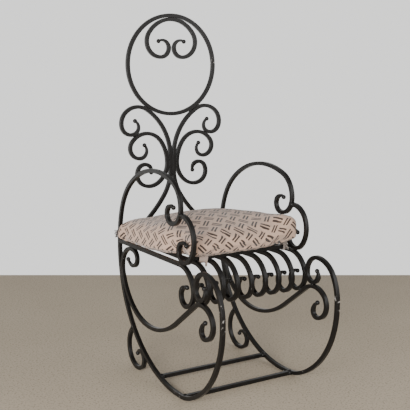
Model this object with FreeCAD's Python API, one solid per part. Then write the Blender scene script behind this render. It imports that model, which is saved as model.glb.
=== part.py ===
"""Wrought iron armchair with a tied seat cushion, in millimetres.

The chair faces -Y and stands on the plane Z = 0. Left and right are as seen from the front, so left is -X.
Every scroll is a square bar bent along tangent arcs in one plane: each side frame lies in a plane of
constant X and the back in a plane of constant Y. Bars that are welded side by side lie WELD_GAP apart, with
the weld beads over that gap on their hidden face. Each bar is placed against the bars that carry it, so it
follows when a size changes.
"""
import FreeCAD, Part
import math
import os
from collections import namedtuple

Vector = FreeCAD.Vector

# Bar stock and its forging
BAR = 13.0
EDGE = 1.0
NECK = 7.0
BALL = 15.0
WORN_FLAT = 0.6
WELD_GAP = 0.25
BEAD_RADIUS = 5.5
BEAD_HEIGHT = 2.5
COLLAR_LIP = 1.2
# The pole of each collar's ball points off the axes of all the bars
COLLAR_POLE = Vector(0.6, 0.64, 0.48)

# Layout of the frame
SEAT_HEIGHT = 431.0
FRAME_WIDTH = 422.0
SLAT_COUNT = 7
LOW_Y = -74.45

# Bends are (radius, turn in degrees), and a straight stretch is (STRAIGHT, length)
STRAIGHT = None

# Side loop: from the floor up the rear leg, over the arm and into its scroll
REAR_RUN = 20.0
ARM_BENDS = [(342, 19), (213, 33), (298, 60), (83, 70), (54, 99), (28, 118), (27, 82)]
# Side loop: along the floor, up the front leg and into its scroll
FLOOR_RUN = 20.0
FRONT_TOE = (182, 24)
FRONT_RUN = 13.0
FRONT_SHOULDER = [(165, 28), (90, 62)]
FRONT_SCROLL = [(52, 101), (28, 151), (20, 66)]

# Seat rails and slats: the shoulder over the front edge and its scroll
SLAT_BENDS = [(83, 70), (53, 90), (31, 150), (29, 62)]
# Front cross bar, this far behind the start of the slats' shoulders
FRONT_BAR_SETBACK = 2.0

# Arm bracket, from its lowest point: up to the arm, and into its curl
BRACKET_ARM = [(41, 39), (79, 71), (69, 70)]
BRACKET_CURL = [(41, 42), (29, 90), (28, 88)]
BRACKET_SETBACK = 23.5

# Swag, from the bottom of its belly: back into the rear scroll, and forward into the front one
SWAG_REAR = [(238, 19), (204, 58), (74, 125), (26, 126), (44, 87)]
SWAG_BELLY = (303, 32.5)
SWAG_FRONT = [(70, 79.5), (47, 72), (46, 66), (19, 93), (35, 62)]
# Swag: about how it lies below the rail and in front of the back, before it is set against its neighbours
SWAG_DROP = 254.0
SWAG_REACH = 247.0
SWAG_TILT = -4.3
SWAG_RUN = 138.0

# Rear foot scroll, from where it stands on the floor: up to the loop, and into its curl
FOOT_RISE = [(64, 75), (80, 58)]
FOOT_CURL = [(64, 33), (32, 85), (25.5, 38), (25.5, 90)]
# Rear foot scroll: about how far behind the lowest point of the loops it stands, before it is set
FOOT_REACH = 275.0

# Stretchers between the loops, measured back from the lowest point of the loops
FRONT_STRETCHER_BACK = -42.0
REAR_STRETCHER_BACK = 115.0

# Back: main bars, from the middle of their straight waist
WAIST_HEIGHT = 693.5
WAIST_LENGTH = 48.0
MAIN_UPPER = [(199, 58), (67, 77), (53, 58), (36, 102), (25, 128)]
MAIN_LOWER = [(168, 32), (400, 13)]
MAIN_FOOT = (120, 30)
# Back: side scrolls, from their middle
SCROLL_UPPER = [(135, 32), (82, 18), (70, 95), (36.5, 134), (26.5, 129)]
SCROLL_LOWER = [(85, 54), (62, 55), (42.5, 99), (28.5, 103), (22, 66)]
# Back: ring, and the scroll inside its top
RING_RADIUS = 171.0
HEART_BENDS = [(105, 57), (54, 52), (53, 75), (32, 87), (26.5, 121)]

# Cushion: its plan, its height over the slats and its cloth
CUSHION_FRONT_OVERHANG = 60.0
CUSHION_REAR_GAP = 7.0
CUSHION_FRONT_WIDTH = 404.0
CUSHION_REAR_WIDTH = 440.0
CUSHION_FRONT_HEIGHT = 98.0
CUSHION_REAR_HEIGHT = 64.0
CUSHION_CROWN = 38.0
CUSHION_END_CROWN = 0.2
CUSHION_ROUND = 28.0
CUSHION_LOWER_ROUND = 14.0
CUSHION_DRAW_IN = 8.0
CLOTH = 1.5
SOFT_GAP = 0.5

# Cushion ties
TIE_WIDTH = 26.0
TIE_CLOTH = 2.0
TIE_KNOT = 7.0
TIE_TAIL = 16.0
TIE_TAIL_WIDTH = 11.0
TIE_SPREAD = 0.3
FRONT_TIE_X = {"left": -132.0, "right": 184.5}
REAR_TIE_RISE = 28.0

TOUCH = BAR + WELD_GAP
CORNER = (BAR / 2 - EDGE) * math.sqrt(2) + EDGE
SIDE_X = FRAME_WIDTH / 2
FLOOR_Z = BAR / 2 - WORN_FLAT
REAR_SWEEP = SEAT_HEIGHT - REAR_RUN - FLOOR_Z
BACK_Y = LOW_Y + REAR_SWEEP

Plane = namedtuple("Plane", "origin across up")
Leg = namedtuple("Leg", "start heading radius turn length end")


# Paths in a plane

def step(point, heading, distance):
    """The point reached from another by going straight along a heading in degrees."""
    angle = math.radians(heading)
    return (point[0] + distance * math.cos(angle), point[1] + distance * math.sin(angle))


def follow(start, heading, bends, hand=1):
    """Tangent legs from a start point: bends turn left for hand 1 and right for hand -1."""
    legs = []
    for radius, amount in bends:
        if radius is STRAIGHT:
            end = step(start, heading, amount)
            legs.append(Leg(start, heading, STRAIGHT, 0.0, amount, end))
        else:
            turn = hand * amount
            centre = step(start, heading + 90 * hand, radius)
            end = step(centre, heading + turn - 90 * hand, radius)
            legs.append(Leg(start, heading, radius, turn, math.radians(amount) * radius, end))
            heading += turn
        start = end
    return legs


def last_heading(legs):
    """The heading at the end of the last leg."""
    return legs[-1].heading + legs[-1].turn


def leg_centre(leg):
    """The centre of a bent leg."""
    return step(leg.start, leg.heading + math.copysign(90, leg.turn), leg.radius)


def curve(legs):
    """The legs as one shape in the plane Z = 0, for measuring gaps."""
    edges = []
    for leg in legs:
        start = Vector(*leg.start, 0)
        end = Vector(*leg.end, 0)
        if leg.radius is STRAIGHT:
            edges.append(Part.LineSegment(start, end).toShape())
        else:
            centre = leg_centre(leg)
            middle = step(centre, leg.heading + leg.turn / 2 - math.copysign(90, leg.turn), leg.radius)
            edges.append(Part.Arc(start, Vector(*middle, 0), end).toShape())
    return Part.Compound(edges)


def gap(some, others):
    """The distance between the centrelines of two sets of legs."""
    return curve(some).distToShape(curve(others))[0]


def meeting(some, others):
    """The point halfway between the centrelines of two sets of legs, where they are closest."""
    pair = curve(some).distToShape(curve(others))[1][0]
    middle = (pair[0] + pair[1]) * 0.5
    return (middle.x, middle.y)


def settle(values, gaps, rounds=60):
    """Moves values in turn, from a place clear of the neighbours, until the contact of each is just made."""
    nudge = 0.05
    longest_move = BAR / 4
    values = list(values)
    for _ in range(rounds):
        for index in range(len(values)):
            here = gaps(values)[index]
            moved = list(values)
            moved[index] += nudge
            slope = (gaps(moved)[index] - here) / nudge
            move = (TOUCH - here) / slope
            values[index] += max(-longest_move, min(longest_move, move))
    return values


# Solids along paths

def at(plane, point):
    """A point of a plane in space."""
    return plane.origin + plane.across * point[0] + plane.up * point[1]


def direction(plane, heading):
    """A heading of a plane in space."""
    angle = math.radians(heading)
    return plane.across * math.cos(angle) + plane.up * math.sin(angle)


def moved_along(shape, leg, plane, share):
    """A copy of a shape carried from the start of a leg to a share of its length."""
    carried = shape.copy()
    if leg.radius is STRAIGHT:
        carried.translate(direction(plane, leg.heading) * (leg.length * share))
    else:
        normal = plane.across.cross(plane.up)
        carried.rotate(at(plane, leg_centre(leg)), normal, leg.turn * share)
    return carried


def section(plane, point, heading, width):
    """The outline of a square bar with eased edges, across its centreline at a point."""
    middle = at(plane, point)
    first = direction(plane, heading + 90)
    second = plane.across.cross(plane.up)
    flat = width / 2 - EDGE
    bulge = flat + EDGE * math.sqrt(0.5)
    edges = []
    for _ in range(4):
        start = middle + first * (width / 2) - second * flat
        end = middle + first * (width / 2) + second * flat
        edges.append(Part.LineSegment(start, end).toShape())
        turned = middle + first * flat + second * (width / 2)
        edges.append(Part.Arc(end, middle + (first + second) * bulge, turned).toShape())
        first, second = second, -first
    return Part.Wire(edges)


def tapered_faces(outline, leg, plane, rings=6):
    """The skin of the last leg of a scroll, drawn down to the neck, and its last outline."""
    wires = []
    for ring in range(rings + 1):
        share = ring / rings
        carried = moved_along(outline, leg, plane, share)
        end = step(leg_centre(leg), leg.heading + leg.turn * share - math.copysign(90, leg.turn), leg.radius)
        carried.scale(1 - share * (1 - NECK / BAR), at(plane, end))
        wires.append(Part.Wire(carried.Edges))
    return Part.makeLoft(wires, False, False).Faces, wires[-1]


def half_bar(legs, plane, width=BAR, tail=True):
    """A square bar along legs, drawn down along the last of them to a ball if it has a tail."""
    outline = section(plane, legs[0].start, legs[0].heading, width)
    faces = [Part.Face(outline)]
    even_legs = legs[:-1] if tail else legs
    for leg in even_legs:
        if leg.radius is STRAIGHT:
            faces.extend(outline.extrude(direction(plane, leg.heading) * leg.length).Faces)
        else:
            normal = plane.across.cross(plane.up)
            faces.extend(outline.revolve(at(plane, leg_centre(leg)), normal, leg.turn).Faces)
        outline = moved_along(outline, leg, plane, 1)
    if tail:
        skin, outline = tapered_faces(outline, legs[-1], plane)
        faces.extend(skin)
    faces.append(Part.Face(outline))
    skin = Part.Compound(faces)
    skin.sewShape()
    shell = Part.Shell(skin.Faces)
    if Part.Solid(shell).Volume < 0:
        shell.reverse()
    solid = Part.Solid(shell)
    if tail:
        ball = Part.makeSphere(BALL / 2, at(plane, legs[-1].end), direction(plane, last_heading(legs)))
        solid = solid.fuse(ball)
    return solid


def whole_bar(halves, plane, tails=(True, True)):
    """One bar made of two halves that leave the same point in opposite directions."""
    first, second = [half_bar(legs, plane, tail=tail) for legs, tail in zip(halves, tails)]
    return biggest(first.fuse(second))


def straight_bar(start, end, width=BAR):
    """A straight level bar between two points in space."""
    way = end - start
    plane = Plane(start, way * (1 / way.Length), Vector(0, 0, 1))
    return half_bar(follow((0, 0), 0, [(STRAIGHT, way.Length)]), plane, width, False)


def biggest(shape):
    """The largest solid of a shape."""
    return max(shape.Solids, key=lambda solid: solid.Volume)


def coped(bar, *others):
    """A bar whose end is cut to sit against other bars, given as fattened solids."""
    for other in others:
        bar = bar.cut(other)
    return biggest(bar)


def side_plane(side):
    """The plane of a side frame, with Y across and Z up."""
    return Plane(Vector(side * SIDE_X, 0, 0), Vector(0, 1, 0), Vector(0, 0, 1))


def back_plane(side):
    """The plane of the back, with X outward on one side across and Z up."""
    return Plane(Vector(0, BACK_Y, 0), Vector(side, 0, 0), Vector(0, 0, 1))


FAT = BAR + 2 * WELD_GAP


# Centrelines of the side frame, in Y and Z

def loop_legs():
    """The rear and the front half of the side loop, from its lowest point."""
    low = (LOW_Y, FLOOR_Z)
    rear = follow(low, 0, [(REAR_SWEEP, 90), (STRAIGHT, REAR_RUN)] + ARM_BENDS)
    toe_radius, toe_turn = FRONT_TOE
    rise = toe_radius * (1 - math.cos(math.radians(toe_turn)))
    heading = 90
    for radius, turn in FRONT_SHOULDER:
        left = heading - turn
        rise += radius * (math.cos(math.radians(left)) - math.cos(math.radians(heading)))
        heading = left
    sweep = (SEAT_HEIGHT - FLOOR_Z - FRONT_RUN - rise) / math.cos(math.radians(toe_turn))
    bends = [(STRAIGHT, FLOOR_RUN), FRONT_TOE, (sweep, 90 - toe_turn), (STRAIGHT, FRONT_RUN)]
    front = follow(low, 180, bends + FRONT_SHOULDER + FRONT_SCROLL, -1)
    return rear, front


LOOP_REAR, LOOP_FRONT = loop_legs()
LOOP_BACK = LOOP_REAR[:3]
ARM_FRONT = LOOP_REAR[5:7]
LEG_SCROLL = LOOP_FRONT[-3:-1]


def slat_legs(length):
    """A seat rail or slat, from the back plane forward."""
    return follow((BACK_Y, SEAT_HEIGHT), 180, [(STRAIGHT, length)] + SLAT_BENDS)


def settled_slat():
    """The slat whose shoulder just meets the scroll of the front leg."""
    guess = [BACK_Y - curve(LEG_SCROLL).BoundBox.XMax - SLAT_BENDS[0][0] - 2 * BAR]
    length = settle(guess, lambda values: [gap(slat_legs(values[0])[1:3], LEG_SCROLL)])[0]
    return slat_legs(length)


SLAT = settled_slat()


def swag_legs(values):
    """The rear and the front half of the swag, from the bottom of its belly."""
    height, back, turn, run = values
    rear = follow((back, height), turn, SWAG_REAR)
    front = follow((back, height), 180 + turn, [SWAG_BELLY], -1)
    front += follow(front[-1].end, last_heading(front), [(STRAIGHT, run)] + SWAG_FRONT)
    return rear, front


def swag_gaps(values):
    """Gaps from the swag to the rail, the rear leg, the rail's scroll and the front leg's scroll."""
    rear, front = swag_legs(values)
    return [gap(rear[2:4], SLAT[:1]), gap(rear[1:3], LOOP_BACK), gap(front[1:3], SLAT[2:4]),
            gap(front[2:3], LEG_SCROLL)]


def settled_swag():
    """The swag that hangs against the rail, the rear leg and the two front scrolls."""
    guess = [SEAT_HEIGHT - SWAG_DROP - BAR, BACK_Y - SWAG_REACH - BAR, SWAG_TILT, SWAG_RUN]
    return swag_legs(settle(guess, swag_gaps))


SWAG = settled_swag()


def bracket_legs(height):
    """The arm bracket from its lowest point over the rail: the half to the arm, and the curl."""
    low = (curve(ARM_FRONT).BoundBox.XMin - BRACKET_SETBACK, height)
    to_arm = follow(low, 180, BRACKET_ARM + [(STRAIGHT, BRACKET_SETBACK + BAR)], -1)
    return to_arm, follow(low, 0, BRACKET_CURL)


def settled_bracket():
    """The arm bracket that stands on the shoulder of the rail."""
    guess = [SEAT_HEIGHT + TOUCH + BAR]
    return bracket_legs(settle(guess, lambda values: [gap(bracket_legs(values[0])[1][:1], SLAT[:2])])[0])


BRACKET = settled_bracket()


def foot_legs(values):
    """The rear foot scroll from where it stands: the half up to the loop, and the curl."""
    low = (values[0], FLOOR_Z)
    rise = follow(low, 0, FOOT_RISE)
    heading = last_heading(rise)
    from_centre = Vector(*rise[-1].end, 0) - Vector(*leg_centre(LOOP_REAR[0]), 0)
    inward = -from_centre.dot(Vector(*step((0, 0), heading, 1), 0))
    reach = inward - math.sqrt(inward ** 2 + REAR_SWEEP ** 2 - from_centre.Length ** 2)
    rise += follow(rise[-1].end, heading, [(STRAIGHT, reach)])
    return rise, follow(low, 180, FOOT_CURL, -1)


def settled_foot():
    """The foot scroll whose curl leans on the rear sweep of the loop."""
    guess = [LOW_Y + FOOT_REACH]
    return foot_legs(settle(guess, lambda values: [gap(foot_legs(values)[1][1:3], LOOP_REAR[:1])]))


FOOT = settled_foot()


# Centrelines of the back, in X and Z, for the right half

def main_legs():
    """The upper and the lower half of a main back bar, from the middle of its waist."""
    middle = (TOUCH / 2, WAIST_HEIGHT)
    waist = (STRAIGHT, WAIST_LENGTH / 2)
    upper = follow(middle, 90, [waist] + MAIN_UPPER, -1)
    lower = follow(middle, 270, [waist] + MAIN_LOWER)
    lower += follow(lower[-1].end, last_heading(lower), [MAIN_FOOT], -1)
    reach = (lower[-1].end[1] - SEAT_HEIGHT) / -math.sin(math.radians(last_heading(lower)))
    lower += follow(lower[-1].end, last_heading(lower), [(STRAIGHT, reach)])
    return upper, lower


MAIN = main_legs()


def scroll_legs(height):
    """The upper and the lower half of a back side scroll, from its middle."""
    middle = (1.5 * TOUCH, height)
    return follow(middle, 90, SCROLL_UPPER, -1), follow(middle, 270, SCROLL_LOWER)


def settled_scroll():
    """The side scroll whose top meets the underside of the main bar's scroll."""
    height = settle([WAIST_HEIGHT], lambda values: [gap(scroll_legs(values[0])[0][1:3], MAIN[0][3:5])])[0]
    return scroll_legs(height)


SCROLL = settled_scroll()


def ring_legs(height):
    """The back ring as two half turns."""
    return follow((RING_RADIUS, height), 90, [(RING_RADIUS, 180), (RING_RADIUS, 180)])


def settled_ring():
    """The ring that stands on the shoulders of the main bars."""
    guess = MAIN[0][2].start[1] + RING_RADIUS
    height = settle([guess], lambda values: [gap(ring_legs(values[0]), MAIN[0][1:3])])[0]
    return ring_legs(height)


RING = settled_ring()
RING_HEIGHT = RING[0].start[1]
HEART = follow((0, RING_HEIGHT + RING_RADIUS - TOUCH), 0, HEART_BENDS, -1)


def level(shape):
    """A bar with the underside that stands on the floor worn flat."""
    box = shape.BoundBox
    corner = Vector(box.XMin - BAR / 2, box.YMin - BAR / 2, -BAR)
    below = Part.makeBox(box.XLength + BAR, box.YLength + BAR, BAR, corner)
    return biggest(shape.cut(below))


# Cushion

FRONT_BAR_Y = SLAT[0].end[0] + FRONT_BAR_SETBACK
FRONT_BAR_Z = SEAT_HEIGHT + TOUCH
CUSHION_FRONT_Y = SLAT[0].end[0] - CUSHION_FRONT_OVERHANG
CUSHION_REAR_Y = BACK_Y - BAR / 2 - CUSHION_REAR_GAP
FRONT_UNDERSIDE = FRONT_BAR_Z + BAR / 2 + SOFT_GAP
REAR_UNDERSIDE = SEAT_HEIGHT + BAR / 2 + SOFT_GAP


def between(first, second, share):
    """A value a share of the way from one to another."""
    return first + (second - first) * share


def eased(share):
    """A share that starts and ends gently."""
    share = max(0.0, min(1.0, share))
    return share * share * (3 - 2 * share)


def cushion_section(depth, length, inset):
    """The outline of the cushion at a distance behind its front edge, drawn in all round by an inset."""
    share = depth / length
    y = CUSHION_FRONT_Y + depth
    radius = CUSHION_ROUND - inset
    from_centre = max(0.0, radius - min(depth, length - depth) + inset)
    rounding = radius - math.sqrt(radius ** 2 - from_centre ** 2)
    draw_in = CUSHION_DRAW_IN * math.sin(math.pi * share)
    width = between(CUSHION_FRONT_WIDTH, CUSHION_REAR_WIDTH, eased(share)) / 2 - draw_in - inset - rounding
    fall = eased((y - FRONT_BAR_Y - BAR / 2) / (length / 2))
    underside = between(FRONT_UNDERSIDE, REAR_UNDERSIDE, fall)
    low = underside + inset + rounding * CUSHION_LOWER_ROUND / CUSHION_ROUND
    height = between(CUSHION_FRONT_HEIGHT, CUSHION_REAR_HEIGHT, eased(share))
    high = underside + height - inset - rounding
    crown = CUSHION_CROWN * between(CUSHION_END_CROWN, 1, math.sin(math.pi * share))
    upper_round = min(CUSHION_ROUND, 0.6 * (high - low))
    lower_round = min(CUSHION_LOWER_ROUND, 0.3 * (high - low))
    half = [Vector(width - lower_round, y, low), Vector(width, y, low + lower_round),
            Vector(width, y, high - upper_round), Vector(width - upper_round, y, high)]
    bulge = 1 - math.sqrt(0.5)
    lower_middle = Vector(width - lower_round * bulge, y, low + lower_round * bulge)
    upper_middle = Vector(width - upper_round * bulge, y, high - upper_round * bulge)
    other = [flipped(point) for point in half]
    edges = [Part.LineSegment(other[0], half[0]), Part.Arc(half[0], lower_middle, half[1]),
             Part.LineSegment(half[1], half[2]), Part.Arc(half[2], upper_middle, half[3]),
             Part.Arc(half[3], Vector(0, y, high + crown), other[3]),
             Part.Arc(other[3], flipped(upper_middle), other[2]), Part.LineSegment(other[2], other[1]),
             Part.Arc(other[1], flipped(lower_middle), other[0])]
    return Part.Wire([edge.toShape() for edge in edges])


def flipped(point):
    """The mirror image of a point on the other side of the chair."""
    return Vector(-point.x, point.y, point.z)


def cushion_solid(inset):
    """The cushion as a loft from its front to its rear edge, drawn in all round by an inset."""
    length = CUSHION_REAR_Y - CUSHION_FRONT_Y
    round_shares = [0.02, 0.15, 0.5, 1.0]
    middle_shares = [0.25, 0.375, 0.5, 0.625, 0.75]
    radius = CUSHION_ROUND - inset
    depths = [inset + radius * share for share in round_shares]
    depths.append(FRONT_BAR_Y + BAR / 2 - CUSHION_FRONT_Y)
    depths += [length * share for share in middle_shares]
    depths += [length - inset - radius * share for share in reversed(round_shares)]
    return Part.makeLoft([cushion_section(depth, length, inset) for depth in depths], True, True)


def tie(centre, axis, toward, reach, hang, spread_way):
    """A cloth tie round a bar: two straps from the cushion, a knot behind the bar and two tails."""
    inner = CORNER + SOFT_GAP
    outer = inner + TIE_CLOTH
    aside = axis.cross(toward)
    near = centre - axis * (TIE_WIDTH / 2)

    def spot(along, across):
        return near + toward * along + aside * across

    edges = [Part.LineSegment(spot(reach, -outer), spot(0, -outer)),
             Part.Arc(spot(0, -outer), spot(-outer, 0), spot(0, outer)),
             Part.LineSegment(spot(0, outer), spot(reach, outer)),
             Part.LineSegment(spot(reach, outer), spot(reach, inner)),
             Part.LineSegment(spot(reach, inner), spot(0, inner)),
             Part.Arc(spot(0, inner), spot(-inner, 0), spot(0, -inner)),
             Part.LineSegment(spot(0, -inner), spot(reach, -inner)),
             Part.LineSegment(spot(reach, -inner), spot(reach, -outer))]
    band = Part.Face(Part.Wire([edge.toShape() for edge in edges])).extrude(axis * TIE_WIDTH)
    knot_centre = centre - toward * (inner + TIE_KNOT)
    whole = band.fuse(Part.makeSphere(TIE_KNOT, knot_centre))
    for spread in (-1, 1):
        way = (hang + spread_way * (TIE_SPREAD * spread)).normalize()
        thick = spread_way.cross(hang).normalize() * TIE_CLOTH
        flat = thick.cross(way).normalize() * TIE_TAIL_WIDTH
        corner = knot_centre - flat * 0.5 + thick * (spread - 0.5)
        outline = Part.makePolygon([corner, corner + flat, corner + flat + thick, corner + thick, corner])
        whole = whole.fuse(Part.Face(outline).extrude(way * (TIE_KNOT + TIE_TAIL)))
    return biggest(whole)


# Welds

def weld(point, bars, radius):
    """A collar of weld round the end of a bar, with the bars that it joins cut out of it."""
    collar = Part.makeSphere(radius, point, COLLAR_POLE)
    for bar in bars:
        collar = collar.cut(bar)
    return collar.Solids


def bead(point, out):
    """A flat dome of weld over the gap of two bars side by side, on their face on one side."""
    radius = (BEAD_RADIUS ** 2 + BEAD_HEIGHT ** 2) / (2 * BEAD_HEIGHT)
    sunk = radius - BEAD_HEIGHT
    lowest = math.degrees(math.asin(sunk / radius))
    return Part.makeSphere(radius, point + out * (BAR / 2 - sunk), out, lowest, 90, 360)


COLLAR = CORNER + COLLAR_LIP
REARWARD = Vector(0, 1, 0)
REAR_RAIL_ENDS = [Vector(-SIDE_X, BACK_Y, SEAT_HEIGHT), Vector(SIDE_X, BACK_Y, SEAT_HEIGHT)]


# Pieces

def write(name, shape):
    """Writes one piece as its own file."""
    shape.exportStep("parts/" + name + ".step")


def height_at(legs, y):
    """The height of a centreline of the side frame at a given Y, near the floor."""
    upright = Part.LineSegment(Vector(y, -BAR, 0), Vector(y, REAR_SWEEP / 2, 0)).toShape()
    return curve(legs).distToShape(upright)[1][0][0].y


def side_name(side):
    """The name of a side."""
    return "left" if side < 0 else "right"


def build_side(side):
    """One side frame: loop, seat rail, arm bracket, swag, foot scroll and their welds."""
    plane = side_plane(side)
    loop = level(whole_bar((LOOP_REAR, LOOP_FRONT), plane))
    fat_back = half_bar(LOOP_BACK, plane, FAT, False)
    rear_rail = coped(straight_bar(*REAR_RAIL_ENDS), fat_back)
    fat_arm = half_bar(ARM_FRONT, plane, FAT, False)
    rail = coped(half_bar(SLAT, plane), fat_back)
    bracket = coped(whole_bar(BRACKET, plane, (False, True)), fat_arm)
    swag = whole_bar(SWAG, plane)
    foot = level(coped(whole_bar(FOOT, plane, (False, True)), fat_back))
    arm_end = curve(BRACKET[0][-1:]).distToShape(curve(ARM_FRONT))[1][0][0]
    swag_rear, swag_front = SWAG
    beads = weld(at(plane, (arm_end.x - BAR / 2, arm_end.y)), [loop, bracket], COLLAR)
    foot_way = direction(plane, last_heading(FOOT[0])) * (BAR / 2)
    beads += weld(at(plane, FOOT[0][-1].end) - foot_way, [loop, foot], COLLAR)
    corner = Vector(side * (SIDE_X - BAR / 3), BACK_Y - BAR / 3, SEAT_HEIGHT)
    beads += weld(corner, [loop, rail, rear_rail], COLLAR)
    contacts = [(BRACKET[1][:1], SLAT[:2]), (SLAT[1:3], LEG_SCROLL), (swag_rear[2:4], SLAT[:1]),
                (swag_rear[1:3], LOOP_BACK), (swag_front[1:3], SLAT[2:4]), (swag_front[2:3], LEG_SCROLL),
                (FOOT[1][1:3], LOOP_REAR[:1])]
    inward = Vector(-side, 0, 0)
    beads += [bead(at(plane, meeting(some, others)), inward) for some, others in contacts]
    name = side_name(side)
    write("side_loop_" + name, loop)
    write("seat_rail_" + name, rail)
    write("arm_bracket_" + name, bracket)
    write("swag_" + name, swag)
    write("foot_scroll_" + name, foot)
    write("side_welds_" + name, Part.Compound(beads))
    return loop, fat_back, half_bar(SLAT[:1], plane, FAT, False)


def build_seat(fat_sides):
    """The rear rail, the slats, the front cross bar and their welds."""
    rear = coped(straight_bar(*REAR_RAIL_ENDS), *fat_sides)
    fat_rear = straight_bar(*REAR_RAIL_ENDS, FAT)
    reach = SIDE_X - BAR / 2 - WELD_GAP
    front = straight_bar(Vector(-reach, FRONT_BAR_Y, FRONT_BAR_Z), Vector(reach, FRONT_BAR_Y, FRONT_BAR_Z))
    beads = []
    for number in range(1, SLAT_COUNT + 1):
        x = -SIDE_X + FRAME_WIDTH * number / (SLAT_COUNT + 1)
        slat = coped(half_bar(SLAT, Plane(Vector(x, 0, 0), Vector(0, 1, 0), Vector(0, 0, 1))), fat_rear)
        write("seat_slat_%d" % number, slat)
        beads += weld(Vector(x, BACK_Y - BAR / 2, SEAT_HEIGHT), [slat, rear], COLLAR)
        beads += weld(Vector(x, FRONT_BAR_Y + BAR / 2, SEAT_HEIGHT + BAR / 2), [slat, front], BEAD_RADIUS)
    write("seat_rear_rail", rear)
    write("seat_front_bar", front)
    write("seat_welds", Part.Compound(beads))
    return rear, fat_rear


def build_base(loops):
    """The two stretchers between the loops and their welds."""
    beads = []
    for name, back, legs in (("front_stretcher", FRONT_STRETCHER_BACK, LOOP_FRONT[:3]),
                             ("rear_stretcher", REAR_STRETCHER_BACK, LOOP_REAR[:1])):
        y = LOW_Y + back
        z = height_at(legs, y)
        bar = straight_bar(Vector(-SIDE_X, y, z), Vector(SIDE_X, y, z))
        bar = level(coped(bar, *[half_bar(legs, side_plane(side), FAT, False) for side in (-1, 1)]))
        write(name, bar)
        for side, loop in zip((-1, 1), loops):
            collars = weld(Vector(side * (SIDE_X - BAR / 2), y, z), [bar, loop], COLLAR)
            beads += [level(solid) for solid in collars]
    write("base_welds", Part.Compound(beads))


def build_back_half(side, rear_rail, fat_rear):
    """A main bar and a side scroll of the back, and the beads that join them to the rest."""
    plane = back_plane(side)
    main = coped(whole_bar(MAIN, plane, (True, False)), fat_rear)
    scroll = whole_bar(SCROLL, plane)
    foot = MAIN[1][-1]
    foot_way = direction(plane, foot.heading) * (BAR / 2)
    beads = weld(at(plane, foot.end) - foot_way, [main, rear_rail], COLLAR)
    contacts = [meeting(RING, MAIN[0][1:3]), meeting(SCROLL[0][1:3], MAIN[0][3:5]),
                (TOUCH, SCROLL[0][0].start[1])]
    beads += [bead(at(plane, point), REARWARD) for point in contacts]
    write("back_bar_" + side_name(side), main)
    write("back_scroll_" + side_name(side), scroll)
    return beads


def build_back(rear_rail, fat_rear):
    """The ring and its scroll, the main bars, the side scrolls and their welds."""
    plane = back_plane(1)
    outline = Part.Face(section(plane, RING[0].start, RING[0].heading, BAR))
    ring = outline.revolve(at(plane, (0, RING_HEIGHT)), Vector(0, 1, 0), 360)
    heart = biggest(half_bar(HEART, back_plane(1)).fuse(half_bar(HEART, back_plane(-1))))
    beads = build_back_half(-1, rear_rail, fat_rear) + build_back_half(1, rear_rail, fat_rear)
    beads.append(bead(Vector(0, BACK_Y, RING_HEIGHT + RING_RADIUS - TOUCH / 2), REARWARD))
    for share in (-0.5, 0, 0.5):
        beads.append(bead(Vector(0, BACK_Y, WAIST_HEIGHT + share * WAIST_LENGTH), REARWARD))
    write("back_ring", ring)
    write("ring_scroll", heart)
    write("back_welds", Part.Compound(beads))


def build_cushion():
    """The cushion's cover and filling, and its four ties."""
    filling = cushion_solid(CLOTH)
    write("cushion_cover", cushion_solid(0).cut(filling))
    write("cushion_filling", filling)
    across = Vector(1, 0, 0)
    up = Vector(0, 0, 1)
    arm = LOOP_REAR[2]
    rise = arm.turn * REAR_TIE_RISE / arm.length
    rear_y, rear_z = step(leg_centre(arm), rise, arm.radius)
    tangent = direction(side_plane(1), arm.heading + rise)
    for side in (-1, 1):
        front = Vector(FRONT_TIE_X[side_name(side)], FRONT_BAR_Y, FRONT_BAR_Z)
        write("cushion_tie_front_" + side_name(side), tie(front, across, up, BAR / 2, -up, across))
        rear = Vector(side * SIDE_X, rear_y, rear_z)
        corner_x = side * (CUSHION_REAR_WIDTH / 2 - CUSHION_ROUND)
        corner = Vector(corner_x, CUSHION_REAR_Y - CUSHION_ROUND, rear_z)
        reach = (corner - rear).Length - CUSHION_ROUND - SOFT_GAP
        toward = tangent.cross((corner - rear).cross(tangent)).normalize()
        write("cushion_tie_rear_" + side_name(side), tie(rear, tangent, toward, reach, -up, across))


os.makedirs("parts", exist_ok=True)
LEFT = build_side(-1)
RIGHT = build_side(1)
REAR_RAIL, FAT_REAR_RAIL = build_seat(LEFT[1:] + RIGHT[1:])
build_base((LEFT[0], RIGHT[0]))
build_back(REAR_RAIL, FAT_REAR_RAIL)
build_cushion()
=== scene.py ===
import math

import bmesh
import bpy
import numpy as np
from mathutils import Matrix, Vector, noise


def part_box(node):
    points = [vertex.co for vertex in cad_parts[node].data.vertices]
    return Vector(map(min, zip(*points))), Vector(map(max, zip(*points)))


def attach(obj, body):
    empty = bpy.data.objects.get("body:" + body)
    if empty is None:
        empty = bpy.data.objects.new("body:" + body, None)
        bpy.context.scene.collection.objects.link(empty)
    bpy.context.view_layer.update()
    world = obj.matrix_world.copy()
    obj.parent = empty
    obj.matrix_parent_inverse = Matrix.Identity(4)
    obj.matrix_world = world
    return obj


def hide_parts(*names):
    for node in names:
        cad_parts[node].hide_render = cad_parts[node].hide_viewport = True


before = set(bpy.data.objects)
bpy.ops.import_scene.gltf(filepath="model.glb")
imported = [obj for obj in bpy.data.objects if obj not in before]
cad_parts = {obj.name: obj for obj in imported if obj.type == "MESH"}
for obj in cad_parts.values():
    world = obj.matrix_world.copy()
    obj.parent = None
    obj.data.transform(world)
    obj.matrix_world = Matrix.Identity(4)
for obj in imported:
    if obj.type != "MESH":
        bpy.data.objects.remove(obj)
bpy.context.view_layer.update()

# Metres throughout, in the chair's own frame: +X to the viewer's right, +Y to the rear, +Z up.

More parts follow.
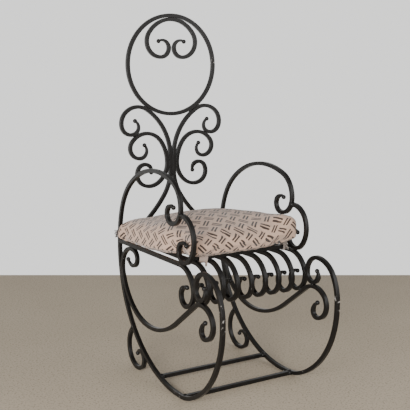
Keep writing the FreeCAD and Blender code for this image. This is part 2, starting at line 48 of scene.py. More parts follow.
# Making the cushion's mesh: the size of its faces, its slack, and how far and how long it swells
VOXEL = 0.005
DRAWN_IN = 0.006
SWELL_LIMIT = 0.010
SWELL_FRAMES = 20

# How far out the cushion's sides lie (second) at a distance behind the chair's middle (first)
SIDE_REACH = [(-0.165, 0.199), (-0.10, 0.201), (-0.07, 0.205), (0.0, 0.218), (0.10, 0.222), (0.22, 0.225),
              (0.30, 0.229), (0.32, 0.229)]
# The ears at its corners: their length, how far round they pull, and the shares of the pull out and along
EAR, EAR_SPREAD = 0.009, 0.03
EAR_OUT, EAR_ALONG = 0.8, 0.6
# Its heights before it is slimmed, and how far the edge of its top lies under them
FRONT_HEIGHT, REAR_HEIGHT = 0.098, 0.064
EDGE_DROP = 0.008
# The share of its height that it has lost along its front, and at its lifted right corner
FRONT_SLIM, CORNER_SLIM = 0.34, 0.05
# How far its lower edge is pushed out over the rails, and the height that this ends at
FULL_EDGE, FULL_EDGE_HEIGHT = 0.006, 0.03
# Lifts at its front: the whole right corner, and only the lower edge toward the right and left
CORNER_LIFT = 0.012
RIGHT_EDGE_LIFT, LEFT_EDGE_LIFT = 0.004, 0.006
LIFTED_EDGE_HEIGHT = 0.05
# The fold round its lower edge: its height over the underside, half width and depth
FOLD_HEIGHT, FOLD_WIDTH, FOLD_DEPTH = 0.009, 0.0028, 0.0016
# The fold's share on an upright face, where more than 1 counts as 1, and how fast it falls with the slope
FOLD_SHARE, FOLD_FALL = 1.4, 2.2
# Dimples in its top: their depth, the broad and the fine ones to the metre, and the share of the fine ones
DIMPLE = 0.0035
BROAD_DIMPLES, FINE_DIMPLES, FINE_SHARE = 11, 27, 0.4
# The gap between it and the iron that it rests on
REST_GAP = 0.0005

# Where a change in the cushion's shape starts, and the length that it comes on over
SLIM_TO_FULL = (-0.16, 0.26)
SLIM_TO_RIGHT = (0.05, 0.12)
LIFT_TO_FRONT = (0.03, 0.11)
LIFT_TO_RIGHT = (0.06, 0.13)
RAIL_TO_SIDE = (0.14, 0.05)
RAIL_TO_REAR = (-0.07, 0.08)
EDGE_TO_RIGHT = (-0.03, 0.20)
EDGE_TO_LEFT = (0.12, 0.08)
DIMPLES_TO_TOP = (0.02, 0.03)

# Laying the cloth: the height where the cushion is widest, and the length that the cloth turns under over
WIDEST_HEIGHT, TURN_UNDER = 0.035, 0.012
# Faces whose normals point further down than this belong to the underside
UNDER_TILT = -0.8
# Measuring its edges: the places along one, how far from its ends they start, and the reach of each
EDGE_PLACES, EDGE_ENDS, PLACE_REACH = 24, 0.03, 0.01

# The cloth's pattern of paired dashes, and the pitch of its threads
CELL = 0.0355
DASH_LENGTH, DASH_WIDTH, DASH_APART = 0.0325, 0.0059, 0.0102
DASH_BLUR = 0.0005
PATTERN_SHIFT = (-0.0107, -0.0214)
THREAD = 0.0013

# How far a strap's middle lies from the middle of the bar that it goes round
STRAP = 0.0104
# Thickness of the ties' cloth, widths of their straps, and the pitch of the ribbon's stripes
STRAP_CLOTH, KNOT_CLOTH, TAIL_CLOTH = 0.0014, 0.0012, 0.001
TAB_WIDTH, RIBBON_WIDTH, TAPE_WIDTH = 0.033, 0.017, 0.020
RIBBON_STRIPE = 0.0048
# How close the ripples along a strip are, and the teeth across its torn end
RIPPLES, TEARS = 160, 7
# Middles of the tab and the ribbon along the front bar
TAB_X, RIBBON_X = -0.132, 0.183
# The place of the rear ties on the uprights, and the way that the uprights run there
REAR_TIE_Y, REAR_TIE_Z = 0.3300, 0.4590
UPRIGHT = Vector((0, -0.0818, 0.9966))
# The way from an upright to the cushion's corner, as shares inward and forward
CORNER_INWARD, CORNER_FORWARD = 0.421, 0.907

# Colours, as shares of red, green and blue
# The third black is for the brushed grain's lighter specks: partly the paint's own grain tone, partly painted
# glints
DEEP_BLACK, WORN_BLACK, GRAIN_AND_GLINT_BLACK = (0.003, 0.0027, 0.0025), (0.008, 0.0068, 0.0061), (0.014, 0.012, 0.011)
BARE_IRON = (0.24, 0.225, 0.21)
BEIGE, FADED_BEIGE, SLUB_BEIGE = (0.50, 0.34, 0.255), (0.61, 0.43, 0.325), (0.38, 0.255, 0.19)
# The second colour on the next line is painted shade, darkening the cloth in the fold round the cushion's
# lower edge
BETWEEN_THREADS, CREASE_SHADE = (0.24, 0.155, 0.12), (0.10, 0.07, 0.06)
DASH_BROWN, DASH_SLUB = (0.008, 0.005, 0.004), (0.030, 0.018, 0.014)
PALE_LINING, DARK_LINING = (0.52, 0.41, 0.35), (0.40, 0.30, 0.25)
PALE_RIBBON, DARK_RIBBON = (0.34, 0.28, 0.24), (0.02, 0.014, 0.012)
PALE_TAPE, DARK_TAPE = (0.075, 0.055, 0.047), (0.028, 0.02, 0.018)
DULL_FLOOR, PALE_FLOOR, FLOOR_GRIT = (0.43, 0.355, 0.26), (0.51, 0.43, 0.325), (0.27, 0.22, 0.16)
ROOM_WHITE = (1.0, 1.0, 0.985)

# Depths of relief in the paint and the cloth
BRUSH_DEPTH, CHIP_DEPTH = 0.00004, 0.00025
WEAVE_DEPTH, SLUB_DEPTH = 0.00022, 0.0005

# The photograph's view: the camera's place, its turn and tilt in degrees, its lens and sensor in millimetres
PHOTO_EYE = (-1.4076, -2.2231, 1.0098)
PHOTO_YAW, PHOTO_PITCH, PHOTO_LENS = 31.198, 9.172, 71.3
SENSOR_WIDTH = 36
# The room's light at its walls and overhead, and the slopes where the one ends and the other starts
WALL_LIGHT, CEILING_LIGHT = 1.3, 0.35
WALL_SLOPE, CEILING_SLOPE = 0.1, 0.6
# The floor's front and rear edges and half its width, before it is turned to the view
FLOOR_NEAR, FLOOR_FAR, FLOOR_HALF = -6.0, 1.39, 6.0

# Places where the paint has chipped: front legs, right of the ring, arm brackets and floor bows
WORN_SPOTS = [(-0.211, -0.345, 0.335), (-0.211, -0.358, 0.285), (0.211, -0.352, 0.305), (0.169, 0.331, 1.06),
              (-0.211, -0.07, 0.60), (0.211, -0.07, 0.60), (-0.211, -0.08, 0.0), (0.211, -0.08, 0.0)]
# How far from such a place the chips end, and how near to it they are thickest
WORN_REACH, WORN_CORE = 0.05, 0.01
# The noise that paint chips off above, how much less is enough at a worn place, and the blur of a chip's edge
CHIP_LEVEL, CHIP_WEAR, CHIP_BLUR = 0.73, 0.125, 0.02

RIGHT = Vector((1, 0, 0))
UP = Vector((0, 0, 1))


# Material nodes

class Shader:
    """A material with short ways to add nodes to it."""

    def __init__(self, name):
        self.material = bpy.data.materials.new(name)
        self.material.use_nodes = True
        self.tree = self.material.node_tree
        self.surface = self.tree.nodes["Principled BSDF"]
        self.place = self.node("ShaderNodeTexCoord").outputs["Object"]

    def node(self, kind, **settings):
        """A new node with some of its settings."""
        made = self.tree.nodes.new(kind)
        for name, value in settings.items():
            setattr(made, name, value)
        return made

    def feed(self, socket, value):
        """Joins an output to a socket, or sets the socket's own value."""
        if isinstance(value, bpy.types.NodeSocket):
            self.tree.links.new(value, socket)
        else:
            socket.default_value = value

    def sum(self, operation, first, second=0.0, third=0.0):
        """One step of arithmetic."""
        made = self.node("ShaderNodeMath", operation=operation)
        for socket, value in zip(made.inputs, (first, second, third)):
            self.feed(socket, value)
        return made.outputs[0]

    def ramp(self, value, low, high):
        """A smooth rise from 0 at low to 1 at high."""
        made = self.node("ShaderNodeMapRange", interpolation_type="SMOOTHSTEP")
        self.feed(made.inputs["Value"], value)
        self.feed(made.inputs["From Min"], low)
        self.feed(made.inputs["From Max"], high)
        return made.outputs["Result"]

    def between(self, value, low, high):
        """A value from 0 to 1 spread between two others."""
        made = self.node("ShaderNodeMapRange")
        self.feed(made.inputs["Value"], value)
        made.inputs["To Min"].default_value = low
        made.inputs["To Max"].default_value = high
        return made.outputs["Result"]

    def speckle(self, scale, detail=2.0, place=None):
        """Noise with so many patches to the metre."""
        made = self.node("ShaderNodeTexNoise")
        self.feed(made.inputs["Vector"], place or self.place)
        made.inputs["Scale"].default_value = scale
        made.inputs["Detail"].default_value = detail
        return made.outputs["Fac"]

    def mix(self, share, first, second):
        """A colour between two others."""
        made = self.node("ShaderNodeMix", data_type="RGBA")
        self.feed(made.inputs["Factor"], share)
        for socket, value in zip((made.inputs[6], made.inputs[7]), (first, second)):
            self.feed(socket, value if isinstance(value, bpy.types.NodeSocket) else (*value, 1.0))
        return made.outputs[2]

    def relief(self, height, depth, under=None):
        """Bumps of so many metres, over other bumps."""
        made = self.node("ShaderNodeBump")
        made.inputs["Distance"].default_value = depth
        self.feed(made.inputs["Height"], height)
        if under is not None:
            self.feed(made.inputs["Normal"], under)
        return made.outputs["Normal"]

    def finish(self, colour, rough, normal):
        """Puts the colour, roughness and relief on the surface."""
        self.feed(self.surface.inputs["Base Color"], colour)
        self.feed(self.surface.inputs["Roughness"], rough)
        self.feed(self.surface.inputs["Normal"], normal)
        return self.material


# Iron

def worn(shader):
    """How near a place is to one of the worn spots."""
    near = 0.0
    for spot in WORN_SPOTS:
        apart = shader.node("ShaderNodeVectorMath", operation="DISTANCE")
        shader.feed(apart.inputs[0], shader.place)
        apart.inputs[1].default_value = spot
        near = shader.sum("MAXIMUM", near, shader.ramp(apart.outputs["Value"], WORN_REACH, WORN_CORE))
    return near


def iron_paint(name, lump_scale, lump_depth):
    """Satin black brushed-on paint over forged iron, chipped to pale metal in places."""
    shader = Shader(name)
    broad = shader.speckle(14, 3)
    grain = shader.speckle(420, 3)
    chip_edge = shader.sum("MULTIPLY_ADD", worn(shader), -CHIP_WEAR, CHIP_LEVEL)
    chips = shader.speckle(105, 5)
    chipped = shader.ramp(chips, chip_edge, shader.sum("ADD", chip_edge, CHIP_BLUR))
    paint = shader.mix(broad, DEEP_BLACK, WORN_BLACK)
    # Lighter specks along the brushed grain: partly the paint's own grain tone, partly painted glints
    paint = shader.mix(shader.ramp(grain, 0.55, 0.75), paint, GRAIN_AND_GLINT_BLACK)
    colour = shader.mix(chipped, paint, BARE_IRON)
    shader.surface.inputs["Specular IOR Level"].default_value = 0.27
    rough = shader.sum("ADD", shader.between(broad, 0.27, 0.40), shader.between(grain, -0.03, 0.06))
    forged = shader.relief(shader.speckle(lump_scale, 3), lump_depth)
    brushed = shader.relief(grain, BRUSH_DEPTH, forged)
    normal = shader.relief(shader.sum("SUBTRACT", 1.0, chipped), CHIP_DEPTH, brushed)
    return shader.finish(colour, rough, normal)


def paint_iron():
    """Every iron node gets the black paint, and the weld beads a lumpier coat of it."""
    bars = iron_paint("painted_iron", lump_scale=38, lump_depth=0.0006)
    beads = iron_paint("painted_weld", lump_scale=190, lump_depth=0.0016)
    for name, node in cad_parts.items():
        if name.startswith("cushion"):
            continue
        node.data.materials.clear()
        node.data.materials.append(beads if "welds" in name else bars)


# Cloth

def dashes(shader, place):
    """A basket weave turned a half right angle: pairs of dashes that change direction from cell to cell."""
    parts = shader.node("ShaderNodeSeparateXYZ")
    shader.feed(parts.inputs[0], place)
    turned = 1 / (CELL * math.sqrt(2))
    right, back = parts.outputs[0], parts.outputs[1]
    rising = shader.sum("MULTIPLY", shader.sum("ADD", back, right), turned)
    falling = shader.sum("MULTIPLY", shader.sum("SUBTRACT", back, right), turned)
    cells = shader.sum("ADD", shader.sum("FLOOR", rising), shader.sum("FLOOR", falling))
    odd = shader.sum("FLOORED_MODULO", cells, 2.0)
    off_rising = shader.sum("ABSOLUTE", shader.sum("SUBTRACT", shader.sum("FRACT", rising), 0.5))
    off_falling = shader.sum("ABSOLUTE", shader.sum("SUBTRACT", shader.sum("FRACT", falling), 0.5))
    turn = shader.sum("MULTIPLY", odd, shader.sum("SUBTRACT", off_falling, off_rising))
    along = shader.sum("ADD", off_rising, turn)
    across = shader.sum("SUBTRACT", off_falling, turn)
    off = shader.sum("ABSOLUTE", shader.sum("SUBTRACT", across, DASH_APART / 2 / CELL))
    soft = DASH_BLUR / CELL
    wide, long = DASH_WIDTH / 2 / CELL, DASH_LENGTH / 2 / CELL
    in_width = shader.ramp(off, wide + soft, wide - soft)
    in_length = shader.ramp(along, long + 2 * soft, long - 2 * soft)
    return shader.sum("MULTIPLY", in_width, in_length)


def wandering(shader, place, scale, reach):
    """A place moved a little this way and that, as threads wander in a hand-stretched cloth."""
    blur = shader.node("ShaderNodeTexNoise")
    shader.feed(blur.inputs["Vector"], place)
    blur.inputs["Scale"].default_value = scale
    centred = shader.node("ShaderNodeVectorMath", operation="SUBTRACT")
    shader.feed(centred.inputs[0], blur.outputs["Color"])
    centred.inputs[1].default_value = (0.5, 0.5, 0.5)
    shifted = shader.node("ShaderNodeVectorMath", operation="MULTIPLY_ADD")
    shader.feed(shifted.inputs[0], centred.outputs[0])
    shifted.inputs[1].default_value = (reach, reach, reach)
    shader.feed(shifted.inputs[2], place)
    return shifted.outputs[0]


def threads(shader, place, pitch):
    """The height of a plain weave with a thread pitch, from crossing waves."""
    parts = shader.node("ShaderNodeSeparateXYZ")
    shader.feed(parts.inputs[0], place)
    turn = 2 * math.pi / pitch
    warp = shader.sum("SINE", shader.sum("MULTIPLY", parts.outputs[0], turn))
    weft = shader.sum("SINE", shader.sum("MULTIPLY", parts.outputs[1], turn))
    return shader.sum("MULTIPLY_ADD", shader.sum("MULTIPLY", warp, weft), 0.5, 0.5)


def soft_surface(shader):
    """The faint bloom that cloth shows at its edges."""
    shader.surface.inputs["Sheen Weight"].default_value = 0.25
    shader.surface.inputs["Sheen Roughness"].default_value = 0.5
    shader.surface.inputs["Specular IOR Level"].default_value = 0.2


def cushion_cloth():
    """Pinkish beige furnishing cloth with woven brown dashes, and painted shade in the fold round its lower
    edge.
    """
    shader = Shader("dash_cloth")
    flat = shader.node("ShaderNodeUVMap", uv_map="Cloth").outputs["UV"]
    drawn = wandering(shader, flat, scale=25, reach=0.003)
    drawn = wandering(shader, drawn, scale=700, reach=0.0011)
    marks = dashes(shader, drawn)
    weave = threads(shader, flat, THREAD)
    slub = shader.speckle(260, 3, flat)
    faded = shader.speckle(9, 2)
    ground = shader.mix(faded, BEIGE, FADED_BEIGE)
    ground = shader.mix(shader.between(slub, 0.0, 0.6), ground, SLUB_BEIGE)
    ground = shader.mix(shader.between(weave, 0.0, 0.2), ground, BETWEEN_THREADS)
    brown = shader.mix(slub, DASH_BROWN, DASH_SLUB)
    crease = shader.node("ShaderNodeAttribute", attribute_name="crease").outputs["Fac"]
    colour = shader.mix(shader.sum("MULTIPLY", marks, 0.96), ground, brown)
    # Painted shade: the cloth darkens in the fold round its lower edge, as far as the crease share reaches
    colour = shader.mix(shader.sum("MULTIPLY", crease, 0.55), colour, CREASE_SHADE)
    rough = shader.between(slub, 0.82, 0.97)
    normal = shader.relief(weave, WEAVE_DEPTH, shader.relief(slub, SLUB_DEPTH))
    soft_surface(shader)
    return shader.finish(colour, rough, normal)


def plain_cloth(name, light, dark, stripe=0.0):
    """Plain lining cloth, with stripes of a given pitch across it where that is not nought."""
    shader = Shader(name)
    weave = threads(shader, shader.place, THREAD * 0.8)
    slub = shader.speckle(300, 3)
    share = slub
    if stripe:
        parts = shader.node("ShaderNodeSeparateXYZ")
        shader.feed(parts.inputs[0], wandering(shader, shader.place, 120, 0.002))
        slanted = shader.sum("ADD", parts.outputs[0], parts.outputs[2])
        wave = shader.sum("SINE", shader.sum("MULTIPLY", slanted, 2 * math.pi / stripe))
        share = shader.ramp(wave, -0.2, 0.5)
    colour = shader.mix(share, light, dark)
    colour = shader.mix(shader.between(weave, 0.0, 0.25), colour, tuple(0.4 * tone for tone in dark))
    normal = shader.relief(weave, 0.0002, shader.relief(slub, 0.0004))
    soft_surface(shader)
    return shader.finish(colour, shader.between(slub, 0.8, 0.97), normal)


# Cushion

COVER_LOW, COVER_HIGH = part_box("cushion_cover")
BAR_LOW, BAR_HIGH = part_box("seat_front_bar")
FRONT_UNDER = BAR_HIGH.z + REST_GAP
REAR_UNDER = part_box("seat_rear_rail")[1].z + REST_GAP


def eased(share):
    """A share that starts and ends gently."""
    share = np.clip(share, 0.0, 1.0)
    return share * share * (3 - 2 * share)


def rise(value, start, length):
    """A gentle rise from 0 to 1 over a length from where it starts."""
    return eased((value - start) / length)


def underside(y):
    """The height that the cushion rests at, from the front bar down to the slats."""
    fall = rise(y, BAR_HIGH.y, (COVER_HIGH.y - COVER_LOW.y) / 2)
    return FRONT_UNDER + (REAR_UNDER - FRONT_UNDER) * fall


def slimmed(x, y):
    """The share of its height that the cushion keeps: it is thin along its front, less so at the right."""
    front = 1 - rise(y, *SLIM_TO_FULL)
    right = rise(x, *SLIM_TO_RIGHT)
    return 1 - front * (FRONT_SLIM + (CORNER_SLIM - FRONT_SLIM) * right)


def forward(y):
    """How fully a place belongs to the lifted front of the cushion."""
    return rise(-y, *LIFT_TO_FRONT)


def corner_lift(x, y):
    """How far the front right corner stands up off the front bar."""
    return CORNER_LIFT * forward(y) * rise(x, *LIFT_TO_RIGHT)


def top_edge(x, y):
    """The height of the edge between the cushion's top and its sides."""
    share = rise(y, COVER_LOW.y, COVER_HIGH.y - COVER_LOW.y)
    height = FRONT_HEIGHT + (REAR_HEIGHT - FRONT_HEIGHT) * share
    return underside(y) + height * slimmed(x, y) - EDGE_DROP + corner_lift(x, y)


def points_of(mesh):
    """The points of a mesh as rows of an array."""
    flat = np.empty(len(mesh.vertices) * 3)
    mesh.vertices.foreach_get("co", flat)
    return flat.reshape(-1, 3)


def normals_of(mesh):
    """The normals of a mesh's points as rows of an array."""
    flat = np.empty(len(mesh.vertices) * 3)
    mesh.vertices.foreach_get("normal", flat)
    return flat.reshape(-1, 3)


def move_points(mesh, points):
    """Moves a mesh's points to rows of an array."""
    mesh.vertices.foreach_set("co", points.ravel())
    mesh.update()


def linked(name, data):
    """A new object in the scene."""
    piece = bpy.data.objects.new(name, data)
    bpy.context.scene.collection.objects.link(piece)
    return piece


def made_real(piece):
    """Replaces a piece's mesh by what its modifiers make of it."""
    shown = piece.evaluated_get(bpy.context.evaluated_depsgraph_get())
    mesh = bpy.data.meshes.new_from_object(shown)
    piece.modifiers.clear()
    piece.data = mesh


def welded_copy(node):
    """A copy of a node's mesh with its split points joined."""
    working = bmesh.new()
    working.from_mesh(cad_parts[node].data)
    bmesh.ops.remove_doubles(working, verts=working.verts, dist=0.00001)
    mesh = bpy.data.meshes.new("cushion")
    working.to_mesh(mesh)
    working.free()
    return mesh


def slack_cushion():
    """The filling's outline drawn in a little, in small even faces."""
    piece = linked("cushion", welded_copy("cushion_filling"))
    remesh = piece.modifiers.new("Even", "REMESH")
    remesh.mode = "VOXEL"
    remesh.voxel_size = VOXEL
    made_real(piece)
    move_points(piece.data, points_of(piece.data) - normals_of(piece.data) * DRAWN_IN)
    return piece


def swell(piece):
    """Blows the cushion up as a closed bag of cloth, no point moving more than the limit."""
    start = points_of(piece.data)
    cloth = piece.modifiers.new("Swell", "CLOTH").settings
    cloth.quality = 5
    cloth.mass = 0.25
    cloth.tension_stiffness = cloth.compression_stiffness = 12
    cloth.shear_stiffness = 4
    cloth.bending_stiffness = 0.4
    cloth.shrink_min = -0.012
    cloth.use_pressure = True
    cloth.uniform_pressure_force = 4
    cloth.effector_weights.gravity = 0
    for number in range(1, SWELL_FRAMES + 1):
        bpy.context.scene.frame_set(number)
    shown = piece.evaluated_get(bpy.context.evaluated_depsgraph_get())
    moved = points_of(shown.data) - start
    piece.modifiers.clear()
    bpy.context.scene.frame_set(1)
    length = np.linalg.norm(moved, axis=1, keepdims=True)
    move_points(piece.data, start + moved * np.minimum(1.0, SWELL_LIMIT / np.maximum(length, 1e-9)))


def finer(piece):
    """One step of subdivision, made real."""
    smooth = piece.modifiers.new("Finer", "SUBSURF")
    smooth.levels = smooth.render_levels = 1
    made_real(piece)


def reach_at(y):
    """How far out the sides of the cushion lie at a distance behind the chair's middle."""
    return np.interp(y, [place for place, _ in SIDE_REACH], [reach for _, reach in SIDE_REACH])


def furthest_out(along, out):
    """The furthest that points reach outward, at each point's own place along an edge."""
    places = np.linspace(along.min() + EDGE_ENDS, along.max() - EDGE_ENDS, EDGE_PLACES)
    furthest = [out[np.abs(along - place) < PLACE_REACH].max() for place in places]
    return np.interp(along, places, furthest)


def fitted(points):
    """Spreads the cushion out to its sides over the rails, and pulls its four corners out into ears."""
    x, y, z = points.T
    x *= reach_at(y) / furthest_out(y, np.abs(x))
    low = underside(y)
    z[:] = low + (z - low) * slimmed(x, y)
    over_rail = rise(np.abs(x), *RAIL_TO_SIDE) * rise(y, *RAIL_TO_REAR)
    lower = 1 - rise(z, low, FULL_EDGE_HEIGHT)
    x += np.sign(x) * FULL_EDGE * over_rail * lower
    for side in (-1, 1):
        for end, place in ((-1, COVER_LOW.y), (1, COVER_HIGH.y)):
            apart = np.hypot(x - side * reach_at(place), y - place)
            pull = EAR * np.exp(-(apart / EAR_SPREAD) ** 2)
            x += side * EAR_OUT * pull
            y += end * EAR_ALONG * pull


def lifted(points):
    """Lifts the front right corner off the front bar, and the lower edge a little at both front corners."""
    x, y, z = points.T
    lower = 1 - rise(z, underside(y), LIFTED_EDGE_HEIGHT)
    edge = RIGHT_EDGE_LIFT * rise(x, *EDGE_TO_RIGHT) + LEFT_EDGE_LIFT * rise(-x, *EDGE_TO_LEFT)
    z += corner_lift(x, y) + forward(y) * edge * lower


def dimpled(points):
    """Hollows and swells the cloth gently, as loose filling does."""
    upper = rise(points[:, 2] - underside(points[:, 1]), *DIMPLES_TO_TOP)
    broad = np.array([noise.noise(Vector(point) * BROAD_DIMPLES) for point in points])
    fine = np.array([noise.noise(Vector(point) * FINE_DIMPLES) for point in points])
    points[:, 2] += DIMPLE * upper * (broad + FINE_SHARE * fine)


def tucked(piece):
    """Shapes the cushion to its place, with a fold round its lower edge."""
    points = points_of(piece.data)
    fitted(points)
    dimpled(points)
    low = underside(points[:, 1])
    move_points(piece.data, points)
    normals = normals_of(piece.data)
    sides = eased(FOLD_SHARE - FOLD_FALL * np.abs(normals[:, 2]))
    fold = np.exp(-((points[:, 2] - low - FOLD_HEIGHT) / FOLD_WIDTH) ** 2) * sides
    points -= normals * (FOLD_DEPTH * fold)[:, None]
    points[:, 2] = np.maximum(points[:, 2], low)
    lifted(points)
    move_points(piece.data, points)
    # The fold's share is kept on the points, where the cloth paints shade into it
    crease = piece.data.attributes.new("crease", "FLOAT", "POINT")
    crease.data.foreach_set("value", fold)


def lay_cloth(piece):
    """Lays the pattern over the top, down each side and on under the lower edge."""
    mesh = piece.data
    x, y, z = points_of(mesh).T
    drop = np.maximum(0.0, top_edge(x, y) - z)
    below = eased((underside(y) + WIDEST_HEIGHT - z) / TURN_UNDER)
    side_in = np.maximum(0.0, furthest_out(y, np.abs(x)) - np.abs(x)) * below
    end_in = np.maximum(0.0, np.minimum(furthest_out(x, -y) + y, furthest_out(x, y) - y)) * below
    layer = mesh.uv_layers.new(name="Cloth").data
    for face in mesh.polygons:
        way = face.normal
        across, along, inward = 0.0, 0.0, end_in
        if way.z > UNDER_TILT and abs(way.x) > abs(way.y):
            across, inward = math.copysign(1, way.x), side_in
        elif way.z > UNDER_TILT:
            along = math.copysign(1, way.y)
        for loop in face.loop_indices:
            spot = mesh.loops[loop].vertex_index
            down = drop[spot] + inward[spot]
            layer[loop].uv = (x[spot] + across * down + PATTERN_SHIFT[0],
                              y[spot] + along * down + PATTERN_SHIFT[1])


def cushion():
    """The seat cushion: swollen cloth over its filling, tucked at the corners."""
    piece = slack_cushion()
    swell(piece)
    finer(piece)
    tucked(piece)
    lay_cloth(piece)
    piece.data.materials.clear()
    piece.data.materials.append(cushion_cloth())
    piece.data.shade_smooth()
    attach(piece, "root")
    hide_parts("cushion_cover", "cushion_filling")


# Ties

def smooth_line(points, count):
    """Evenly numbered places on a smooth line through points."""
    rows = np.array([points[0], *points, points[-1]], float)
    places = []
    for step in np.linspace(0, len(points) - 1 - 1e-9, count):
        number = int(step)
        share = step - number
        before, first, second, after = rows[number:number + 4]
        bend = 2 * before - 5 * first + 4 * second - after
        twist = 3 * first - before - 3 * second + after
        doubled = 2 * first + (second - before) * share + bend * share ** 2 + twist * share ** 3
        places.append(Vector(0.5 * doubled))
    return places


def band(working, points, across, thick, fray=0.0, count=28):
    """Adds a flat strip of cloth along a smooth line. Returns its area."""
    line = smooth_line(points, count)
    sides = smooth_line(across, count)
    shares = (-1.0, -0.5, 0.0, 0.5, 1.0)
    around = 2 * len(shares)
    rings, area = [], 0.0
    for number, (place, side) in enumerate(zip(line, sides)):
        ahead = line[min(number + 1, count - 1)] - line[max(number - 1, 0)]
        up = side.cross(ahead).normalized() * (thick / 2)
        ripple = up * noise.noise(place * RIPPLES)
        tear = ahead.normalized() * (fray if number == count - 1 else 0.0)
        ring = []
        for face in (1, -1):
            for share in shares[::face]:
                torn = tear * noise.noise(Vector((share * TEARS, face, number)))
                ring.append(working.verts.new(place + side * share + up * face + ripple * share + torn))
        rings.append(ring)
        if number:
            area += (place - line[number - 1]).length * 2 * side.length
    for first, second in zip(rings, rings[1:]):
        for corner in range(around):
            after = (corner + 1) % around
            working.faces.new((first[corner], first[after], second[after], second[corner]))
    working.faces.new(rings[0][::-1])
    working.faces.new(rings[-1])
    return area


def wrap(working, centre, axis, radius, width):
    """Adds one turn of a strip round a knot. Returns its area."""
    first = axis.orthogonal().normalized()
    second = axis.cross(first).normalized()
    points, across = [], []
    for turn in np.linspace(0, 2 * math.pi, 9):
        lift = axis * (width * 0.25 * math.sin(turn / 2))
        points.append(centre + (first * math.cos(turn) + second * math.sin(turn)) * radius + lift)
        across.append(axis * (width / 2))
    return band(working, points, across, KNOT_CLOTH)


def knot(working, centre, way, size):
    """Adds a knot of two crossing turns. Returns the area of its cloth."""
    side = way.orthogonal().normalized()
    area = wrap(working, centre, way, radius=size * 0.55, width=size * 1.1)
    slant = (way * 0.5 + side).normalized()
    area += wrap(working, centre, slant, radius=size * 0.62, width=size * 0.8)
    return area


def finished_tie(working, name, node, material):
    """Makes one tie, held by a bar, of what was added to a mesh."""
    bmesh.ops.recalc_face_normals(working, faces=working.faces)
    mesh = bpy.data.meshes.new(name)
    working.to_mesh(mesh)
    working.free()
    piece = linked(name, mesh)
    finer(piece)
    piece.data.materials.append(material)
    piece.data.shade_smooth()
    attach(piece, "root")
    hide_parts(node)


def strap(working, centre, axis, toward, reach, width, sag=1.0):
    """Adds a strap that comes from the cushion, goes round a bar and comes back. Returns its area."""
    aside = axis.cross(toward)
    turns = [centre + toward * (STRAP * sag * math.cos(turn)) + aside * (STRAP * math.sin(turn))
             for turn in np.linspace(math.pi / 2, 3 * math.pi / 2, 7)]
    points = [centre + toward * reach + aside * STRAP, *turns, centre + toward * reach - aside * STRAP]
    return band(working, points, [axis * (width / 2)] * len(points), STRAP_CLOTH)


def on_front_bar(x):
    """A place on the middle line of the front bar."""
    middle = (BAR_LOW + BAR_HIGH) / 2
    return Vector((x, middle.y, middle.z))


def front_left_tie():
    """A wide tab of plain lining round the front bar between two slats, with a small torn knot below it."""
    centre = on_front_bar(TAB_X)
    working = bmesh.new()
    area = strap(working, centre, RIGHT, UP, reach=0.006, width=TAB_WIDTH, sag=1.6)
    hang = centre + Vector((0.007, -0.0105, -0.014))
    area += knot(working, hang, RIGHT, size=0.006)
    for lean in (-0.3, 0.5):
        bend = hang + Vector((lean * 0.004, -0.001, -0.006))
        tip = hang + Vector((0.001 + lean * 0.005, 0.0, -0.013))
        area += band(working, [hang, bend, tip], [Vector((0.002, 0.0, 0.003))] * 3, TAIL_CLOTH, fray=0.004)
    cloth = plain_cloth("lining_cloth", PALE_LINING, DARK_LINING)
    finished_tie(working, "tie_front_left", "cushion_tie_front_left", cloth)


def front_right_tie():
    """A striped ribbon twisted round the front bar, with two loose ends."""
    centre = on_front_bar(RIBBON_X)
    working = bmesh.new()
    area = strap(working, centre, RIGHT, UP, reach=0.022, width=RIBBON_WIDTH)
    hang = centre + Vector((-0.001, -0.014, 0.003))
    area += knot(working, hang, RIGHT, size=0.0065)
    for side in (-1, 1):
        bend = hang + Vector((side * 0.007, -0.003, -0.002))
        tip = hang + Vector((side * 0.009, 0.0, -0.011))
        twist = [Vector((0, 0.004, 0.003)), Vector((0, 0.005, -0.001)), Vector((side * 0.002, 0.005, 0.001))]
        area += band(working, [hang, bend, tip], twist, TAIL_CLOTH, fray=0.003)
    cloth = plain_cloth("striped_ribbon", PALE_RIBBON, DARK_RIBBON, RIBBON_STRIPE)
    finished_tie(working, "tie_front_right", "cushion_tie_front_right", cloth)


def rear_tie(side, cloth):
    """A strap from the cushion's rear corner round the upright, tied off in a small bow outside it."""
    hand = "left" if side < 0 else "right"
    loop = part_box("side_loop_" + hand)
    centre = Vector(((loop[0].x + loop[1].x) / 2, REAR_TIE_Y, REAR_TIE_Z))
    toward = Vector((-side * CORNER_INWARD, -CORNER_FORWARD, 0)).normalized()
    working = bmesh.new()
    area = strap(working, centre, UPRIGHT, toward, reach=0.0160, width=TAPE_WIDTH)
    hang = centre - toward * 0.0120
    area += knot(working, hang, UPRIGHT, size=0.006)
    out = Vector((side, 0.25, 0)).normalized()
    for lean in (-1, 1):
        shoulder = hang + out * 0.004 + UPRIGHT * (0.007 * lean)
        tip = hang + out * 0.009 + UPRIGHT * (0.006 * lean)
        bow = [hang, shoulder, tip, hang + out * 0.005, hang]
        area += band(working, bow, [Vector((0, 0.0035, 0))] * len(bow), TAIL_CLOTH)
        bend = hang + out * 0.003 - UPRIGHT * 0.008
        end = hang + out * (0.003 + 0.003 * lean) - UPRIGHT * 0.019
        area += band(working, [hang, bend, end], [Vector((0, 0.004, 0))] * 3, TAIL_CLOTH, fray=0.003)
    finished_tie(working, "tie_rear_" + hand, "cushion_tie_rear_" + hand, cloth)


def ties():
    """The four ties at the cushion's corners."""
    front_left_tie()
    front_right_tie()
    dark = plain_cloth("brown_tape", PALE_TAPE, DARK_TAPE)
    rear_tie(-1, dark)
    rear_tie(1, dark)


# Stage

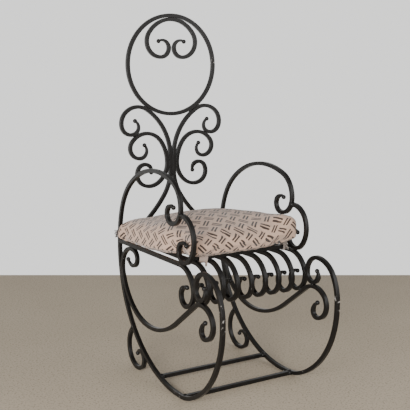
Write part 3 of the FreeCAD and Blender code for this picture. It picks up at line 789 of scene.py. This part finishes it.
def pale_floor():
    """Pale smooth concrete."""
    shader = Shader("pale_floor")
    cloud = shader.speckle(2.5, 4)
    grit = shader.speckle(160, 3)
    colour = shader.mix(cloud, DULL_FLOOR, PALE_FLOOR)
    colour = shader.mix(shader.ramp(grit, 0.5, 0.7), colour, FLOOR_GRIT)
    normal = shader.relief(grit, 0.0004)
    return shader.finish(colour, shader.between(grit, 0.7, 0.85), normal)


def floor():
    """A floor that ends behind the chair, square to the photograph's view."""
    mesh = bpy.data.meshes.new("floor")
    corners = [(-FLOOR_HALF, FLOOR_NEAR, 0), (FLOOR_HALF, FLOOR_NEAR, 0),
               (FLOOR_HALF, FLOOR_FAR, 0), (-FLOOR_HALF, FLOOR_FAR, 0)]
    mesh.from_pydata(corners, [], [(0, 1, 2, 3)])
    piece = linked("floor", mesh)
    piece.rotation_euler.z = math.radians(-PHOTO_YAW)
    mesh.materials.append(pale_floor())


def soft_light(name, place, aim, size, power):
    """A large soft lamp aimed at a place."""
    data = bpy.data.lights.new(name, "AREA")
    data.shape = "DISK"
    data.size = size
    data.energy = power
    lamp = linked(name, data)
    lamp.location = place
    lamp.rotation_euler = (Vector(aim) - Vector(place)).to_track_quat("-Z", "Y").to_euler()


def room():
    """A pale room, brighter at its walls than overhead."""
    world = bpy.data.worlds.new("room")
    world.use_nodes = True
    tree = world.node_tree
    place = tree.nodes.new("ShaderNodeTexCoord")
    parts = tree.nodes.new("ShaderNodeSeparateXYZ")
    fall = tree.nodes.new("ShaderNodeMapRange")
    fall.inputs["From Min"].default_value = WALL_SLOPE
    fall.inputs["From Max"].default_value = CEILING_SLOPE
    fall.inputs["To Min"].default_value = WALL_LIGHT
    fall.inputs["To Max"].default_value = CEILING_LIGHT
    shade = tree.nodes["Background"]
    shade.inputs["Color"].default_value = (*ROOM_WHITE, 1.0)
    tree.links.new(place.outputs["Generated"], parts.inputs[0])
    tree.links.new(parts.outputs["Z"], fall.inputs["Value"])
    tree.links.new(fall.outputs["Result"], shade.inputs["Strength"])
    bpy.context.scene.world = world


def lights():
    """A pale room, a wide window to the left of the camera and a weaker one to the right."""
    room()
    soft_light("window", place=(-2.9, -2.5, 1.05), aim=(0, 0, 0.45), size=2.2, power=225)
    soft_light("fill", place=(2.4, -2.2, 1.8), aim=(0, 0, 0.5), size=2.0, power=30)


def camera():
    """The photograph's view."""
    data = bpy.data.cameras.new("camera")
    data.sensor_width = SENSOR_WIDTH
    data.lens = PHOTO_LENS
    eye = linked("camera", data)
    eye.location = PHOTO_EYE
    eye.rotation_euler = (math.radians(90 - PHOTO_PITCH), 0, math.radians(-PHOTO_YAW))
    bpy.context.scene.camera = eye


paint_iron()
cushion()
ties()
floor()
lights()
camera()
